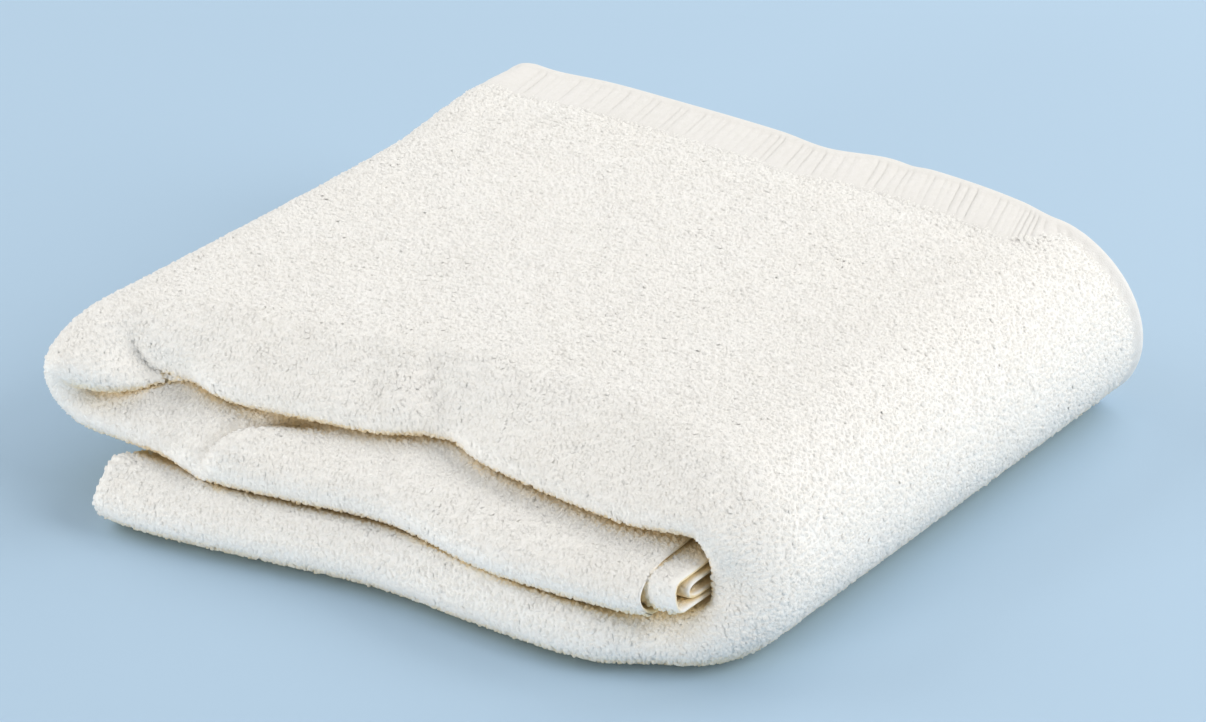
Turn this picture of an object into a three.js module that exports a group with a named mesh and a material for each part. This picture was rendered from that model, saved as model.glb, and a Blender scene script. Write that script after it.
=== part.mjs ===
// A terry bath sheet, folded in four along its length and then in three along its width.
// The cloth is one closed solid: its section, four layers joined by their folds, is swept along
// the way that the folded strip takes through the parcel.
// Frame: millimetres, +Z up. X runs from the left fold to the wrap at the right, Y from the folded
// front edge to the hems at the back. The origin is under the middle of the parcel.

import * as THREE from 'three';
import { mergeVertices } from 'three/addons/utils/BufferGeometryUtils.js';

const { lerp, clamp, mapLinear } = THREE.MathUtils;

// Driving sizes
const CLOTH = 5.6;          // thickness of the terry with its pile
const PITCH = 7.05;         // from the middle of one layer to the middle of the next
const TIER = 4 * PITCH;     // four layers make a tier, and three tiers make the parcel
const HEIGHT = 3 * TIER;
const NOSE_X = -138;        // left end of the bottom tier
const WRAP_X = 137;         // where the strip turns up at the right
const TURN_X = -158;        // where it turns down again at the left
const END_X = 137;          // right end of the middle tier, inside the wrap
const PEEK = 10;            // how far the two inner layers stick out at that end
const PEEK_RUN = 80;        // the stretch over which they come out
const WRAP_BULGE = 3;       // how much further than a half circle the wrap reaches
const MIDDLE = { x: -6.6, y: -4.5 };  // middle of the parcel in the sizes above

// Heights of the middle of each tier
const BOTTOM_Z = 1.5 * PITCH + CLOTH / 2;
const MIDDLE_Z = BOTTOM_Z + TIER;
const TOP_Z = MIDDLE_Z + TIER;

// The edges of each tier, from left to right, and at the middle of each turn.
// front: foremost line of the front fold; crest and tuck: how far behind it the outward and the
// inward face start to bend; tip: height of the foremost line, in layer pitches towards the
// outward side; slack: 0 for a full round face and 1 for a straight slope; inside: how far
// behind the front the inner fold lies; back: the hem of the outer layer.
const BOTTOM_EDGE = [
  { x: -138, front: -199, crest: 17, tuck: 18, tip: 0, slack: 0, inside: 15, back: 184 },
  { x: -110, front: -199, crest: 17, tuck: 18, tip: 0, slack: 0, inside: 15, back: 187 },
  { x: -60, front: -192, crest: 16, tuck: 17, tip: 0, slack: 0, inside: 15, back: 189 },
  { x: 0, front: -183, crest: 16, tuck: 16, tip: 0, slack: 0, inside: 15, back: 186 },
  { x: 60, front: -185, crest: 16, tuck: 16, tip: 0, slack: 0, inside: 15, back: 184 },
  { x: 110, front: -184, crest: 18, tuck: 16, tip: 0, slack: 0, inside: 15, back: 178 },
  { x: 137, front: -169, crest: 22, tuck: 16, tip: -0.2, slack: 0, inside: 16, back: 170 },
];
const WRAP_EDGE = [
  { share: 0.5, front: -153, crest: 32, tuck: 8, tip: -0.6, slack: 0.2, inside: 20, back: 168 },
];
const TOP_EDGE = [
  { x: -158, front: -180, crest: 40, tuck: 14, tip: -0.2, slack: 0.3, inside: 26, back: 188 },
  { x: -124, front: -156, crest: 38, tuck: 13, tip: -0.4, slack: 0.6, inside: 34, back: 193 },
  { x: -90, front: -152, crest: 40, tuck: 8, tip: -0.5, slack: 0.8, inside: 30, back: 192 },
  { x: -30, front: -141, crest: 42, tuck: 8, tip: -0.5, slack: 0.8, inside: 31, back: 188 },
  { x: 0, front: -131, crest: 38, tuck: 8, tip: -0.5, slack: 0.8, inside: 28, back: 183 },
  { x: 30, front: -139, crest: 46, tuck: 8, tip: -0.5, slack: 0.8, inside: 34, back: 189 },
  { x: 70, front: -146, crest: 52, tuck: 8, tip: -0.5, slack: 0.8, inside: 40, back: 187 },
  { x: 110, front: -150, crest: 46, tuck: 8, tip: -0.5, slack: 0.8, inside: 34, back: 180 },
  { x: 137, front: -151, crest: 38, tuck: 13, tip: -0.4, slack: 0.4, inside: 28, back: 172 },
];
const TURN_EDGE = [
  { share: 0.5, front: -178, crest: 26, tuck: 14, tip: 0, slack: 0, inside: 18, back: 186 },
];
const MIDDLE_EDGE = [
  { x: -158, front: -176, crest: 16, tuck: 24, tip: 0, slack: 0, inside: 16, back: 186 },
  { x: -125, front: -177, crest: 15, tuck: 26, tip: 0, slack: 0, inside: 16, back: 183 },
  { x: -92, front: -182, crest: 15, tuck: 26, tip: 0, slack: 0, inside: 16, back: 183 },
  { x: -50, front: -177, crest: 15, tuck: 26, tip: 0, slack: 0, inside: 16, back: 184 },
  { x: 0, front: -170, crest: 15, tuck: 26, tip: 0, slack: 0, inside: 16, back: 182 },
  { x: 60, front: -181, crest: 15, tuck: 26, tip: 0, slack: 0, inside: 16, back: 180 },
  { x: 137, front: -181, crest: 15, tuck: 26, tip: 0, slack: 0, inside: 16, back: 176 },
];

// Other sizes of the section
const HEM_STEP = 5;         // the inner layer's hem lies this much in front of the outer hem
const BACK_FOLD = 9;        // and the back fold starts this much in front of it
const INNER_FRONT_R = 4.4;  // depth of the inner front fold
const LEVEL_Y = -78;        // behind this line all layers lie level
const LEVEL_STEPS = 3;      // steps of a level stretch on each side of that line
const FRONT_STEPS = 5;      // steps of a quarter of the outer front fold
const FOLD_STEPS = 4;       // steps of the small folds
const ROUND_HANDLE = 0.55;  // Bezier handles of a full round face and of a slack one
const SLACK_HANDLE = 0.2;
const TIP_HANDLE = 0.5;

// How the parcel has settled: smooth shifts that move all its layers together
const FLARE = { fromX: -60, toX: -150, fromZ: 0.8 * TIER, toZ: 2.6 * TIER, front: 5, middle: 3, back: 13 };
const FLARE_REACH = 190;    // the flare's front and back values hold at this distance in Y
const LEAN = { fromX: 77, toX: 167, foot: 8, drawnIn: 6, fromY: 40, toY: 170 };
const DROOP = { depth: 12, power: 2, past: 4, held: 0.6, heldFromX: 107, heldToX: 157 };

// Dents in the front folds: where each is centred, its reach to each side and its depth
const DENTS = [
  { x: -134, z: 66, wide: 16, tall: 11, depth: 11 },
  { x: -112, z: 46, wide: 15, tall: 10, depth: 8 },
  { x: -2, z: 66, wide: 14, tall: 14, depth: 5 },
];
const DENT_FROM_Y = -70;
const DENT_TO_Y = -160;

// 0 to 1 with a soft start and end, as value goes from one limit to the other
function ease(value, from, to) {
  const t = clamp((value - from) / (to - from), 0, 1);
  return t * t * (3 - 2 * t);
}

function straight(fromX, toX, z, outZ) {
  return (share) => ({ x: lerp(fromX, toX, share), z, outX: 0, outZ });
}

function halfTurn(centreX, lowZ, highZ, startAngle, bulge) {
  const radius = (highZ - lowZ) / 2;
  return (share) => {
    const angle = startAngle + Math.PI * share;
    const outX = Math.cos(angle);
    const outZ = Math.sin(angle);
    return {
      x: centreX + (radius + bulge) * outX,
      z: (lowZ + highZ) / 2 + radius * outZ,
      outX,
      outZ,
    };
  };
}

// The way of the strip, piece by piece. Its outward side is underneath in the bottom tier, to the
// right in the wrap, on top in the top tier, and underneath again in the middle tier.
const WAY = [
  {
    length: WRAP_X - NOSE_X, steps: 14, edge: BOTTOM_EDGE,
    place: straight(NOSE_X, WRAP_X, BOTTOM_Z, -1),
  },
  {
    length: Math.PI * (TOP_Z - BOTTOM_Z) / 2, steps: 10, edge: WRAP_EDGE,
    place: halfTurn(WRAP_X, BOTTOM_Z, TOP_Z, -Math.PI / 2, WRAP_BULGE),
  },
  {
    length: WRAP_X - TURN_X, steps: 15, edge: TOP_EDGE,
    place: straight(WRAP_X, TURN_X, TOP_Z, 1),
  },
  {
    length: Math.PI * (TOP_Z - MIDDLE_Z) / 2, steps: 8, edge: TURN_EDGE,
    place: halfTurn(TURN_X, MIDDLE_Z, TOP_Z, Math.PI / 2, 0),
  },
  {
    length: END_X - TURN_X, steps: 14, edge: MIDDLE_EDGE,
    place: straight(TURN_X, END_X, MIDDLE_Z, -1),
  },
];
const WAY_LENGTH = WAY.reduce((sum, piece) => sum + piece.length, 0);
const TOP_START = WAY[0].length + WAY[1].length;

// The last piece also serves the layers that stick out past its end
function placeAt(along) {
  let rest = along;
  for (const piece of WAY.slice(0, -1)) {
    if (rest <= piece.length) {
      return piece.place(rest / piece.length);
    }
    rest -= piece.length;
  }
  const last = WAY.at(-1);
  return last.place(rest / last.length);
}

// Every row of the edge tables, with its distance along the way
function edgeRows() {
  const rows = [];
  let start = 0;
  for (const piece of WAY) {
    const from = piece.place(0).x;
    const to = piece.place(1).x;
    for (const row of piece.edge) {
      const share = row.share ?? (row.x - from) / (to - from);
      rows.push({ ...row, along: start + share * piece.length });
    }
    start += piece.length;
  }
  return rows.sort((a, b) => a.along - b.along);
}
const EDGE_ROWS = edgeRows();

// A smooth curve through one column of the edge rows
function edgeValue(along, column) {
  const last = EDGE_ROWS.length - 1;
  const next = EDGE_ROWS.findIndex((row) => row.along > along);
  const i = next < 0 ? last - 1 : Math.max(next - 1, 0);
  const slope = (k) => {
    const a = EDGE_ROWS[Math.max(k - 1, 0)];
    const b = EDGE_ROWS[Math.min(k + 1, last)];
    return (b[column] - a[column]) / (b.along - a.along);
  };
  const p = EDGE_ROWS[i];
  const q = EDGE_ROWS[i + 1];
  const span = Math.max(q.along - p.along, 1);
  const t = clamp((along - p.along) / span, 0, 1);
  const far = t * t * (3 - 2 * t);
  const leave = t * (1 - t) * (1 - t) * span * slope(i);
  const arrive = t * t * (t - 1) * span * slope(i + 1);
  return (1 - far) * p[column] + far * q[column] + leave + arrive;
}

function bezier(a, b, c, d, t) {
  const s = 1 - t;
  return s * s * s * a + 3 * s * s * t * b + 3 * s * t * t * c + t * t * t * d;
}

// A point on the outer front fold between one face, at height n, and the foremost line
function frontPoint(edge, depth, slack, n, share) {
  const handle = depth * (1 - lerp(ROUND_HANDLE, SLACK_HANDLE, slack));
  const tip = edge.tip * PITCH;
  return {
    u: bezier(edge.front + depth, edge.front + handle, edge.front, edge.front, share),
    n: bezier(n, n, lerp(tip, n, TIP_HANDLE), tip, share),
    inner: 0,
  };
}

// A level stretch of one layer; inner goes from 0 to 1 where the layer belongs to the inner two
function levelStretch(fromU, toU, n, innerFrom, innerTo) {
  const points = [];
  for (let k = 0; k <= 2 * LEVEL_STEPS; k += 1) {
    const u = k <= LEVEL_STEPS
      ? lerp(fromU, LEVEL_Y, k / LEVEL_STEPS)
      : lerp(LEVEL_Y, toU, k / LEVEL_STEPS - 1);
    points.push({ u, n, inner: mapLinear(u, fromU, toU, innerFrom, innerTo) });
  }
  return points;
}

// The inner points of a small half-round fold; side is 1 at the back and -1 at the front
function smallFold(u, n, depth, side, inner) {
  const points = [];
  for (let k = 1; k < FOLD_STEPS; k += 1) {
    const angle = Math.PI * (k / FOLD_STEPS - 0.5);
    points.push({
      u: u + side * depth * Math.cos(angle),
      n: n + PITCH / 2 * Math.sin(angle),
      inner,
    });
  }
  return points;
}

// The middle line of the cloth across the parcel: from the hem of the outermost layer to the
// front, round the outer fold, back, round the back fold, to the front, round the inner fold and
// back to the other hem. u runs from front to back and n towards the outward side.
function midline(along) {
  const edge = {};
  for (const column of ['front', 'crest', 'tuck', 'tip', 'slack', 'inside', 'back']) {
    edge[column] = edgeValue(along, column);
  }
  const outerN = 1.5 * PITCH;
  const innerN = 0.5 * PITCH;
  const backFold = edge.back - BACK_FOLD;
  const innerFold = edge.front + edge.inside + INNER_FRONT_R;
  const points = levelStretch(edge.back, edge.front + edge.crest, outerN, 0, 0);
  for (let k = 1; k <= FRONT_STEPS; k += 1) {
    points.push(frontPoint(edge, edge.crest, edge.slack, outerN, k / FRONT_STEPS));
  }
  for (let k = FRONT_STEPS - 1; k > 0; k -= 1) {
    points.push(frontPoint(edge, edge.tuck, 0, -outerN, k / FRONT_STEPS));
  }
  points.push(
    ...levelStretch(edge.front + edge.tuck, backFold, -outerN, 0, 0),
    ...smallFold(backFold, -PITCH, innerN, 1, 0),
    ...levelStretch(backFold, innerFold, -innerN, 0, 1),
    ...smallFold(innerFold, 0, INNER_FRONT_R, -1, 1),
    ...levelStretch(innerFold, edge.back - HEM_STEP, innerN, 1, 1),
  );
  return points;
}

// The closed outline of that section: the middle line moved half the cloth to each side
function outline(along) {
  const line = midline(along);
  const left = [];
  const right = [];
  line.forEach((point, i) => {
    const before = line[Math.max(i - 1, 0)];
    const after = line[Math.min(i + 1, line.length - 1)];
    const length = Math.hypot(after.u - before.u, after.n - before.n);
    const sideU = CLOTH / 2 * (after.n - before.n) / length;
    const sideN = CLOTH / 2 * (before.u - after.u) / length;
    left.push({ ...point, u: point.u + sideU, n: point.n + sideN });
    right.unshift({ ...point, u: point.u - sideU, n: point.n - sideN });
  });
  return [...left, ...right];
}

function dentDepth(x, y, z) {
  const depth = DENTS.reduce((sum, dent) => {
    const away = ((x - dent.x) / dent.wide) ** 2 + ((z - dent.z) / dent.tall) ** 2;
    return sum + dent.depth * Math.exp(-away);
  }, 0);
  return depth * ease(y, DENT_FROM_Y, DENT_TO_Y);
}

// How far the front edge of the top tier has sunk; the tiers below follow it less
function droopDepth(x, y, z) {
  const along = TOP_START + WRAP_X - clamp(x, TURN_X, WRAP_X);
  const front = edgeValue(along, 'front');
  const crest = front + edgeValue(along, 'crest');
  const held = 1 - DROOP.held * ease(Math.abs(x), DROOP.heldFromX, DROOP.heldToX);
  return DROOP.depth * held * ease(y, crest, front - DROOP.past) * (z / HEIGHT) ** DROOP.power;
}

function settle(x, y, z) {
  const side = y < 0 ? FLARE.front : FLARE.back;
  const flare = lerp(FLARE.middle, side, (y / FLARE_REACH) ** 2)
    * ease(x, FLARE.fromX, FLARE.toX) * ease(z, FLARE.fromZ, FLARE.toZ);
  const lean = LEAN.foot * (1 - 2 * z / HEIGHT) - LEAN.drawnIn * ease(y, LEAN.fromY, LEAN.toY) * z / HEIGHT;
  return [
    x - flare + lean * ease(x, LEAN.fromX, LEAN.toX),
    y + dentDepth(x, y, z),
    z - droopDepth(x, y, z),
  ];
}

// Distances along the way at which a section is taken
function stations() {
  const list = [0];
  let start = 0;
  for (const piece of WAY) {
    for (let k = 1; k <= piece.steps; k += 1) {
      list.push(start + piece.length * k / piece.steps);
    }
    start += piece.length;
  }
  return list;
}

function towelGeometry() {
  const rings = stations().map((along) => {
    const out = PEEK * ease(along, WAY_LENGTH - PEEK_RUN, WAY_LENGTH);
    return outline(along).map((point) => {
      const place = placeAt(along + out * point.inner);
      return settle(place.x + point.n * place.outX, point.u, place.z + point.n * place.outZ);
    });
  });
  const size = rings[0].length;
  const index = [];
  for (let ring = 0; ring + 1 < rings.length; ring += 1) {
    for (let k = 0; k < size; k += 1) {
      const a = ring * size + k;
      const b = ring * size + (k + 1) % size;
      index.push(a, b + size, b, a, a + size, b + size);
    }
  }
  const end = (rings.length - 1) * size;
  for (let k = 0; k + 1 < size / 2; k += 1) {
    const [a, b, c, d] = [k, k + 1, size - 2 - k, size - 1 - k];
    index.push(a, b, c, a, c, d);
    index.push(end + a, end + c, end + b, end + a, end + d, end + c);
  }
  const geometry = new THREE.BufferGeometry();
  geometry.setAttribute('position', new THREE.Float32BufferAttribute(rings.flat(2), 3));
  geometry.setIndex(index);
  const closed = mergeVertices(geometry);
  closed.computeVertexNormals();
  return closed;
}

function towel() {
  const terry = new THREE.MeshStandardMaterial({ color: 0xf6f0e2, roughness: 0.95, metalness: 0 });
  const mesh = new THREE.Mesh(towelGeometry(), terry);
  mesh.name = 'towel';
  mesh.position.set(-MIDDLE.x, -MIDDLE.y, 0);
  return mesh;
}

const model = new THREE.Group();
model.add(towel());

export default model;
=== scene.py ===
import math

import bpy
import numpy as np
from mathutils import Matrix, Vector
from mathutils.bvhtree import BVHTree


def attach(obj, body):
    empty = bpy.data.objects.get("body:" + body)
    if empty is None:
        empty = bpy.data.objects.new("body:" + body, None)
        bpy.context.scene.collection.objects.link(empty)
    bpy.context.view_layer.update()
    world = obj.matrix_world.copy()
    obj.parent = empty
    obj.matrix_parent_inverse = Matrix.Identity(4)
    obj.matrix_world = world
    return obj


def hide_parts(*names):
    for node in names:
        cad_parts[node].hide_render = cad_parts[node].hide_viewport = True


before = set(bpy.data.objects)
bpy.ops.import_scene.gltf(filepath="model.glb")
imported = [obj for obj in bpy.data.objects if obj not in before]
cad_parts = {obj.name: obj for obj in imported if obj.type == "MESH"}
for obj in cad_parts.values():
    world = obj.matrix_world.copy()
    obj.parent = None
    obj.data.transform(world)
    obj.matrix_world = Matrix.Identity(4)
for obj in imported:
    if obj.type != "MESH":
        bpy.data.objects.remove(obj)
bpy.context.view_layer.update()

MM = 0.001
SEED = 11

# Driving sizes, as in the part's source apart from small shifts that sit closer to the photo
CLOTH = 5.6          # thickness of the terry with its pile
PITCH = 7.05         # from the middle of one layer to the middle of the next
TIER = 4 * PITCH     # four layers make a tier, and three tiers make the parcel
HEIGHT = 3 * TIER
NOSE_X = -138        # left end of the bottom tier
WRAP_X = 137         # where the strip turns up at the right
TURN_X = -158        # where it turns down again at the left
END_X = 140          # right end of the middle tier, inside the wrap
PEEK = 10            # how far the two inner layers stick out at that end
PEEK_RUN = 80        # the stretch over which they come out
DRAWN_BACK = {"by": 4, "run": 40}   # how far the two outer ones are drawn back there
WRAP_BULGE = 3       # how much further than a half circle the wrap reaches
MIDDLE = np.array([-6.6, -4.5, 0.0])  # middle of the parcel in the sizes above
BOTTOM_Z = 1.5 * PITCH + CLOTH / 2
MIDDLE_Z = BOTTOM_Z + TIER
TOP_Z = MIDDLE_Z + TIER

# The edges of each tier, and at the middle of each turn: x, or the share of the turn, then the columns.
# front: foremost line of the front fold; crest and tuck: how far behind it the outward and the inward
# face start to bend; tip: height of the foremost line, in pitches towards the outward side; slack: 0 for
# a full round face and 1 for a straight slope; inside: how far behind the front the inner fold lies;
# back: the hem of the outer layer
COLUMNS = ("front", "crest", "tuck", "tip", "slack", "inside", "back")
BOTTOM_EDGE = (
    (-138, -199, 17, 18, 0, 0, 15, 184),
    (-110, -199, 17, 18, 0, 0, 15, 187),
    (-60, -192, 16, 12, -0.2, 0, 15, 189),
    (0, -183, 16, 11, -0.2, 0, 15, 186),
    (60, -185, 16, 11, -0.2, 0, 15, 184),
    (110, -184, 18, 12, -0.2, 0, 15, 178),
    (137, -169, 22, 16, -0.2, 0, 16, 170),
)
WRAP_EDGE = ((0.5, -153, 32, 8, -0.6, 0.2, 20, 168),)
TOP_EDGE = (
    (-158, -180, 40, 14, -0.2, 0.3, 26, 188),
    (-124, -156, 38, 13, -0.4, 0.6, 34, 193),
    (-90, -152, 40, 8, -0.5, 0.8, 30, 192),
    (-30, -141, 42, 8, -0.5, 0.8, 31, 188),
    (0, -131, 38, 8, -0.5, 0.8, 28, 183),
    (30, -139, 46, 8, -0.5, 0.8, 34, 189),
    (70, -146, 52, 8, -0.5, 0.8, 40, 187),
    (110, -150, 46, 8, -0.5, 0.8, 34, 180),
    (137, -151, 38, 13, -0.4, 0.4, 28, 172),
)
TURN_EDGE = ((0.5, -178, 26, 14, 0, 0, 18, 186),)
MIDDLE_EDGE = (
    (-158, -176, 16, 24, 0, 0, 16, 186),
    (-125, -177, 15, 26, 0, 0, 16, 183),
    (-92, -182, 10, 26, 0.3, 0, 16, 183),
    (-50, -177, 10, 26, 0.3, 0, 16, 184),
    (0, -170, 10, 26, 0.3, 0, 16, 182),
    (60, -181, 10, 26, 0.3, 0, 16, 180),
    (137, -178.5, 11, 26, 0.2, 0, 9, 176),
)

# Other sizes of the section
HEM_STEP = 5         # the inner layer's hem lies this much in front of the outer hem
BACK_FOLD = 9        # and the back fold starts this much in front of it
INNER_FRONT_R = 4.4  # depth of the inner front fold
LEVEL_Y = -78        # behind this line all layers lie level
ROUND_HANDLE = 0.55  # handles of a full round face and of a slack one
SLACK_HANDLE = 0.2
TIP_HANDLE = 0.5

# How the parcel has settled: the flared left end, the leaning wrap and the sunken front edge of the top
FLARE = {"x": (-60, -150), "z": (0.8 * TIER, 2.6 * TIER), "front": 7, "middle": 5, "back": 15}
FLARE_REACH = 190    # the flare's front and back values hold at this distance in y
LEAN = {"x": (77, 167), "foot": 8, "drawn_in": 1, "y": (40, 170)}
DROOP = {"depth": 12, "power": 2, "past": 4, "held": 0.6, "x": (107, 157)}
DENTS = (
    # x, z, wide, tall, depth
    (-121, 62, 12, 12, 9),
    (-112, 46, 15, 10, 8),
    (-2, 66, 14, 14, 5),
)
DENT_Y = (-70, -160)

# The thin cloth under the pile
GROUND = 3.6         # thickness of the woven ground
EDGE_ROUND = 1.5     # its edges are rounded over this width
HEM_WIDE = 38        # the border without pile along each hem
HEM_THIN = 0.6       # the ground under it, as a share of its thickness
THICKENS = (4, 3)    # it is full from this far in front of the border's edge to this far behind it
WRAP_HEM = {"wide": 9, "lift": 1.0, "sunk": 0.7}   # on the wrap the pile lies over the border, which sinks
WRAP_FADE = (30, 12)  # lengths over which that starts and ends
NOSE_BARE = 1.5      # the strip without pile along each long edge, at the nose and inside the wrap
END_BARE = {"outer": (0.8, 3.5), "inner": (3.2, 3)}   # and at the right end, on the two sides of the cloth
END_THIN = 0.6       # the ground at that end, as a share of its thickness
END_THIN_RUN = 16    # the stretch over which it gets thinner

FAR_FROM_HEM = 1000.0   # stands for the distance from a hem where it doesn't matter

# How finely the cloth is divided
HEM_STEPS = (0, 0.3, 0.8, 1.6, 3, 6, 10, 15, 21, 28, 34)   # distances from a hem
END_STEPS = (0, 0.3, 0.8, 1.6, 3, 5)   # distances from either end of the way
STATION_STEP = 5.2
FINE_STEP = 2.3      # the stations are closer where the cloth is creased most
FINE_FADE = 25
FINE_END = (70, 50)  # and near the end of the way
STATION_SAMPLES = 2000
TOP_STEPS = 50
FRONT_STEPS = 10     # steps of a quarter of the outer front fold
FOLD_STEPS = 6       # steps of the small folds
NEAR_STEPS = 9       # steps of a level stretch in front of the line where all layers lie level
FAR_STEPS = 9        # and behind it

# At the right end the two inner layers stand apart, and the upper one has a small pleat
PUFF = {"run": 62, "full": 10, "tall": 1.9, "forward": 3.2, "fade": (-135, -95), "pleat_fade": (30, 80)}
PLEAT = (
    # Distance behind the fold and n, four handles for each stretch
    ((0, 6.7), (12, 6.7), (22, 6.9), (30, 7.0)),
    ((30, 7.0), (37, 6.8), (37, 4.0), (30, 3.9)),
    ((30, 3.9), (24, 3.9), (18, 3.9), (12, 3.8)),
    ((12, 3.8), (3, 3.5), (3, -2.3), (12, -2.5)),
    ((12, -2.5), (36, -3.2), (62, 3.5), (90, 3.5)),
)
PLEAT_STEPS = (4, 5, 3, 7, 7)


def lerp(a, b, share):
    return a + (b - a) * share


def ease(value, start, end):
    """0 to 1 with a soft start and end, as value goes from start to end."""
    t = np.clip((value - start) / (end - start), 0, 1)
    return t * t * (3 - 2 * t)


def unit(vectors):
    return vectors / np.maximum(np.linalg.norm(vectors, axis=-1, keepdims=True), 1e-9)


# The way of the strip through the parcel


def straight(from_x, to_x, z, out_z):
    def place(share):
        return lerp(from_x, to_x, share), z + 0 * share, 0 * share, out_z + 0 * share

    return place


def half_turn(centre_x, low_z, high_z, start, bulge):
    radius = (high_z - low_z) / 2

    def place(share):
        angle = start + math.pi * share
        out_x, out_z = np.cos(angle), np.sin(angle)
        return centre_x + (radius + bulge) * out_x, (low_z + high_z) / 2 + radius * out_z, out_x, out_z

    return place


def way_piece(length, edge, place, from_x=None, to_x=None):
    return {"length": length, "edge": edge, "place": place, "from_x": from_x, "to_x": to_x}


WAY = (
    way_piece(WRAP_X - NOSE_X, BOTTOM_EDGE, straight(NOSE_X, WRAP_X, BOTTOM_Z, -1), NOSE_X, WRAP_X),
    way_piece(
        math.pi * (TOP_Z - BOTTOM_Z) / 2, WRAP_EDGE,
        half_turn(WRAP_X, BOTTOM_Z, TOP_Z, -math.pi / 2, WRAP_BULGE),
    ),
    way_piece(WRAP_X - TURN_X, TOP_EDGE, straight(WRAP_X, TURN_X, TOP_Z, 1), WRAP_X, TURN_X),
    way_piece(
        math.pi * (TOP_Z - MIDDLE_Z) / 2, TURN_EDGE,
        half_turn(TURN_X, MIDDLE_Z, TOP_Z, math.pi / 2, 0),
    ),
    way_piece(END_X - TURN_X, MIDDLE_EDGE, straight(TURN_X, END_X, MIDDLE_Z, -1), TURN_X, END_X),
)
WAY_STARTS = np.cumsum([0] + [piece["length"] for piece in WAY])
WAY_LENGTH = WAY_STARTS[-1]
TOP_START = WAY_STARTS[2]
TURN_START = WAY_STARTS[3]


def place_at(along):
    """x, z and the outward direction at distances along the way.

    The last piece also serves what is past its end.
    """
    found = [np.empty_like(along) for _ in range(4)]
    number = np.clip(np.searchsorted(WAY_STARTS, along, side="right") - 1, 0, len(WAY) - 1)
    for k, piece in enumerate(WAY):
        here = number == k
        values = piece["place"]((along[here] - WAY_STARTS[k]) / piece["length"])
        for target, value in zip(found, values):
            target[here] = value
    return found


def on_wrap(along):
    """1 on the wrap, where the pile lies over the border, fading out next to it."""
    begun = ease(along, WAY_STARTS[1] - WRAP_FADE[0], WAY_STARTS[1])
    return begun * (1 - ease(along, TOP_START - WRAP_FADE[1], TOP_START + WRAP_FADE[1]))


def edge_rows():
    rows = []
    for piece, start in zip(WAY, WAY_STARTS):
        for first, *columns in piece["edge"]:
            share = first
            if piece["from_x"] is not None:
                share = (first - piece["from_x"]) / (piece["to_x"] - piece["from_x"])
            rows.append([start + share * piece["length"], *columns])
    return np.array(sorted(rows), float)


EDGE_ROWS = edge_rows()


def edge_values(along):
    """The columns of the edge tables at distances along the way, each as smooth curves through the rows."""
    at, values = EDGE_ROWS[:, 0], EDGE_ROWS[:, 1:]
    last = len(at) - 1
    before = np.maximum(np.arange(len(at)) - 1, 0)
    after = np.minimum(np.arange(len(at)) + 1, last)
    slope = (values[after] - values[before]) / (at[after] - at[before])[:, None]
    i = np.clip(np.searchsorted(at, along, side="right") - 1, 0, last - 1)
    span = np.maximum(at[i + 1] - at[i], 1)
    t = np.clip((along - at[i]) / span, 0, 1)
    far = (t * t * (3 - 2 * t))[..., None]
    leave = (t * (1 - t) ** 2 * span)[..., None] * slope[i]
    arrive = (t * t * (t - 1) * span)[..., None] * slope[i + 1]
    smooth = (1 - far) * values[i] + far * values[i + 1] + leave + arrive
    return {name: smooth[..., k] for k, name in enumerate(COLUMNS)}


# The section of four layers


def bezier(a, b, c, d, t):
    s = 1 - t
    return s * s * s * a + 3 * s * s * t * b + 3 * s * t * t * c + t * t * t * d


def front_points(edge, depth, slack, n, share):
    handle = depth * (1 - lerp(ROUND_HANDLE, SLACK_HANDLE, slack))
    tip = edge["tip"] * PITCH
    u = bezier(edge["front"] + depth, edge["front"] + handle, edge["front"], edge["front"], share)
    return u, bezier(n, n, lerp(tip, n, TIP_HANDLE), tip, share), 0 * u


def level_points(from_u, to_u, n, inner_from, inner_to, shares):
    u = lerp(from_u, to_u, shares)
    return u, n + 0 * u, lerp(inner_from, inner_to, shares) + 0 * u


def small_fold(u, n, depth, side, inner):
    angle = math.pi * (np.arange(1, FOLD_STEPS) / FOLD_STEPS - 0.5)
    across = u + side * depth * np.cos(angle)
    return across, n + PITCH / 2 * np.sin(angle) + 0 * across, inner + 0 * across


def split_level(from_u, to_u, n, inner_from, inner_to):
    """A level stretch sampled closely in front of the line where the droop starts, and widely behind it."""
    steps_from, steps_to = (FAR_STEPS, NEAR_STEPS) if np.all(from_u > to_u) else (NEAR_STEPS, FAR_STEPS)
    middle = (LEVEL_Y - from_u) / (to_u - from_u)
    shares = np.concatenate(
        [middle * np.arange(steps_from) / steps_from,
         lerp(middle, 1, np.arange(steps_to + 1) / steps_to)], axis=-1,
    )
    return level_points(from_u, to_u, n, inner_from, inner_to, shares)


def puffed(along, u, n, inner):
    """The inner layers standing apart towards the right end."""
    share = ease(along, WAY_LENGTH - PUFF["run"], WAY_LENGTH - PUFF["full"])[:, None] * inner
    share = share * (1 - ease(u, *PUFF["fade"]))
    return u - PUFF["forward"] * share, n * (1 + (PUFF["tall"] - 1) * share)


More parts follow.
